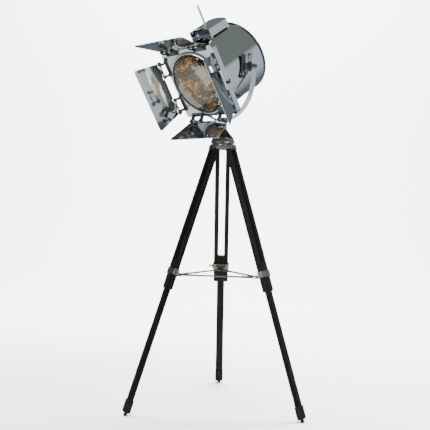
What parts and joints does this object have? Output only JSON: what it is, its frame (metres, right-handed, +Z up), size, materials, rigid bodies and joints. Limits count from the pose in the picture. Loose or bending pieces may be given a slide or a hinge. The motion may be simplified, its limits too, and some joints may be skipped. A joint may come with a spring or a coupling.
{
  "type": "tripod floor lamp",
  "caption": "Tripod floor lamp with a tilting chrome drum spotlight head, hinged barn door flaps and folding black wooden legs joined by spreader rods.",
  "frame": {"origin": "on the floor, under the middle of the whole outline seen from above", "axes": "+Z up, the beam leaves towards -Y, the tilt pins lie along X"},
  "size_m": [0.671, 0.6836, 1.6011],
  "materials": {
    "aged_nickel": "aged",
    "black_fittings": "gloss",
    "black_wood": "satin",
    "bulb_glass": "clear",
    "ceramic": "gloss",
    "chrome": "polished",
    "dark_bronze": "aged",
    "dark_iron": "satin",
    "fasteners": "satin",
    "lens_glass": "clear",
    "reflector": "polished",
    "rod_steel": "satin",
    "rubber": "satin",
    "white_rod": "polished"
  },
  "bodies": {
    "stand": {"crown_block": "aged_nickel", "crown_cone": "dark_bronze", "pan_post": "aged_nickel", "pan_bolt": "fasteners"},
    "crown_knob": {"crown_knob": "black_fittings"},
    "leg_right": {"leg_cap_right": "aged_nickel", "hip_bolt_right": "fasteners", "rail_right_a": "black_wood", "rail_right_b": "black_wood", "clamp_right": "aged_nickel"},
    "lower_leg_right": {"lower_leg_right": "black_wood", "foot_right": "dark_iron"},
    "spreader_right": {"spreader_right": "rod_steel"},
    "thumbscrew_right": {"thumbscrew_right": "fasteners"},
    "leg_back": {"leg_cap_back": "aged_nickel", "hip_bolt_back": "fasteners", "rail_back_a": "black_wood", "rail_back_b": "black_wood", "clamp_back": "aged_nickel"},
    "lower_leg_back": {"lower_leg_back": "black_wood", "foot_back": "dark_iron"},
    "spreader_back": {"spreader_back": "rod_steel"},
    "thumbscrew_back": {"thumbscrew_back": "fasteners"},
    "leg_front": {"leg_cap_front": "aged_nickel", "hip_bolt_front": "fasteners", "rail_front_a": "black_wood", "rail_front_b": "black_wood", "clamp_front": "aged_nickel"},
    "lower_leg_front": {"lower_leg_front": "black_wood", "foot_front": "dark_iron"},
    "spreader_front": {"spreader_front": "rod_steel"},
    "thumbscrew_front": {"thumbscrew_front": "fasteners"},
    "yoke": {"yoke": "chrome"},
    "head": {"side_boss_left": "black_fittings", "side_boss_right": "black_fittings", "drum": "chrome", "rear_cap": "chrome", "rear_rim": "black_fittings", "front_collar": "chrome", "front_box": "chrome", "bezel": "chrome", "gasket": "rubber", "lens": "lens_glass", "reflector": "reflector", "lampholder": "ceramic", "bulb": "bulb_glass", "vent_box": "chrome", "lift_rod": "white_rod", "cable_gland": "black_fittings", "door_brackets": "black_fittings", "door_pins": "black_fittings", "rivets": "chrome"},
    "latch_knob": {"latch_knob": "black_fittings"},
    "tilt_knob_left": {"tilt_knob_left": "fasteners"},
    "tilt_knob_right": {"tilt_knob_right": "fasteners"},
    "door_top": {"door_top": "chrome"},
    "door_left": {"door_left": "chrome"},
    "door_bottom": {"door_bottom": "chrome"},
    "door_right": {"door_right": "chrome", "leaf_stay": "black_fittings"}
  },
  "joints": [
    {"name": "fold_right", "type": "hinge", "parent": "stand", "child": "leg_right", "pos_m": [-0.01967, 0.04895, 1.045], "axis": [-0.225, 0.9744, 0], "range_deg": [0, 16.5]},
    {"name": "rod_swing_right", "type": "hinge", "parent": "leg_right", "child": "spreader_right", "pos_m": [0.11457, 0.08815, 0.53162], "axis": [-0.2882, -0.9428, -0.1675], "range_deg": [0, 106.18]},
    {"name": "slide_right", "type": "slide", "parent": "leg_right", "child": "lower_leg_right", "axis": [0.3135, 0.0724, -0.9468], "range_m": [-0.38, 0.04]},
    {"name": "thumbscrew_turn_right", "type": "hinge", "parent": "leg_right", "child": "thumbscrew_right", "pos_m": [0.14556, 0.0871, 0.54603], "axis": [-0.225, 0.9744, 0], "continuous": true},
    {"name": "fold_back", "type": "hinge", "parent": "stand", "child": "leg_back", "pos_m": [-0.07714, 0.06653, 1.045], "axis": [-0.7314, -0.682, 0], "range_deg": [0, 16.5]},
    {"name": "rod_swing_back", "type": "hinge", "parent": "leg_back", "child": "spreader_back", "pos_m": [-0.17821, 0.16318, 0.53162], "axis": [0.9606, 0.2218, -0.1675], "range_deg": [0, 106.18]},
    {"name": "slide_back", "type": "slide", "parent": "leg_back", "child": "lower_leg_back", "axis": [-0.2194, 0.2353, -0.9468], "range_m": [-0.38, 0.04]},
    {"name": "thumbscrew_turn_back", "type": "hinge", "parent": "leg_back", "child": "thumbscrew_back", "pos_m": [-0.19279, 0.19054, 0.54603], "axis": [-0.7314, -0.682, 0], "continuous": true},
    {"name": "fold_front", "type": "hinge", "parent": "stand", "child": "leg_front", "pos_m": [-0.06362, 0.00796, 1.045], "axis": [0.9563, -0.2924, 0], "range_deg": [0, 16.5]},
    {"name": "rod_swing_front", "type": "hinge", "parent": "leg_front", "child": "spreader_front", "pos_m": [-0.09679, -0.12789, 0.53162], "axis": [-0.6724, 0.721, -0.1675], "range_deg": [0, 106.18]},
    {"name": "slide_front", "type": "slide", "parent": "leg_front", "child": "lower_leg_front", "axis": [-0.0941, -0.3077, -0.9468], "range_m": [-0.38, 0.04]},
    {"name": "thumbscrew_turn_front", "type": "hinge", "parent": "leg_front", "child": "thumbscrew_front", "pos_m": [-0.1132, -0.1542, 0.54603], "axis": [0.9563, -0.2924, 0], "continuous": true},
    {"name": "crown_knob_turn", "type": "hinge", "parent": "stand", "child": "crown_knob", "pos_m": [-0.02616, 0.01185, 1.0675], "axis": [0.6563, -0.7038, 0.2718], "range_deg": [-12, 12]},
    {"name": "pan", "type": "hinge", "parent": "stand", "child": "yoke", "pos_m": [-0.05348, 0.04115, 1.146], "axis": [0, 0, 1], "range_deg": [-170, 170]},
    {"name": "tilt", "type": "hinge", "parent": "yoke", "child": "head", "pos_m": [-0.05348, 0.04115, 1.35], "axis": [1, 0, 0], "range_deg": [-75, 8]},
    {"name": "tilt_knob_turn_left", "type": "hinge", "parent": "head", "child": "tilt_knob_left", "pos_m": [-0.21848, 0.04115, 1.35], "axis": [1, 0, 0], "continuous": true},
    {"name": "tilt_knob_turn_right", "type": "hinge", "parent": "head", "child": "tilt_knob_right", "pos_m": [0.11152, 0.04115, 1.35], "axis": [1, 0, 0], "continuous": true},
    {"name": "latch_knob_turn", "type": "hinge", "parent": "head", "child": "latch_knob", "pos_m": [0.06964, -0.0275, 1.23267], "axis": [0.8387, 0.3006, -0.4542], "continuous": true},
    {"name": "door_top_open", "type": "hinge", "parent": "head", "child": "door_top", "pos_m": [-0.05348, -0.20028, 1.39407], "axis": [-1, 0, 0], "range_deg": [-45, 58]},
    {"name": "door_left_open", "type": "hinge", "parent": "head", "child": "door_left", "pos_m": [-0.20348, -0.11749, 1.26899], "axis": [0, 0.5519, -0.8339], "range_deg": [-19, 84]},
    {"name": "door_bottom_open", "type": "hinge", "parent": "head", "child": "door_bottom", "pos_m": [-0.05348, -0.0347, 1.1439], "axis": [1, 0, 0], "range_deg": [-16, 22]},
    {"name": "door_right_open", "type": "hinge", "parent": "head", "child": "door_right", "pos_m": [0.09652, -0.11749, 1.26899], "axis": [0, -0.5519, 0.8339], "range_deg": [-35, 68]}
  ],
  "couplings": [
    {"joint": "rod_swing_right", "follows": "fold_right", "ratio": 6.4347},
    {"joint": "fold_back", "follows": "fold_right", "ratio": 1},
    {"joint": "rod_swing_back", "follows": "fold_right", "ratio": 6.4347},
    {"joint": "fold_front", "follows": "fold_right", "ratio": 1},
    {"joint": "rod_swing_front", "follows": "fold_right", "ratio": 6.4347}
  ]
}
